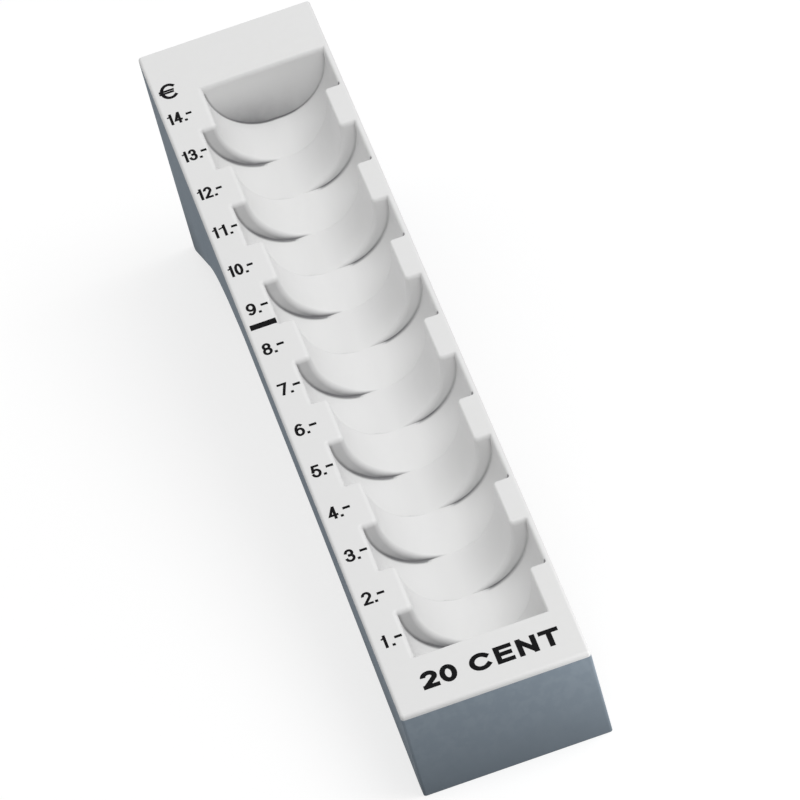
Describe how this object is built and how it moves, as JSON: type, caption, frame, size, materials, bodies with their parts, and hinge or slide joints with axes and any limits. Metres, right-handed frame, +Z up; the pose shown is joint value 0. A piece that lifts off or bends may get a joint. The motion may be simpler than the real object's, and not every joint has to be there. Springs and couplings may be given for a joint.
{
  "type": "coin counting tray",
  "caption": "Sloping coin counting tray: a white top with a round-bottomed coin channel stepped left and right in equal sections, seated on a grey stand with an arched underside.",
  "frame": {"origin": "on the table, under the middle of the footprint's bounding box", "axes": "+X to the right as the scale is read, +Y towards the raised far end, +Z up"},
  "size_m": [0.0328, 0.1812, 0.0472],
  "materials": {
    "tray_white": "satin",
    "stand_grey": "fine grain"
  },
  "bodies": {
    "root": {"channel_tray": "tray_white", "stand": "stand_grey"}
  },
  "joints": []
}
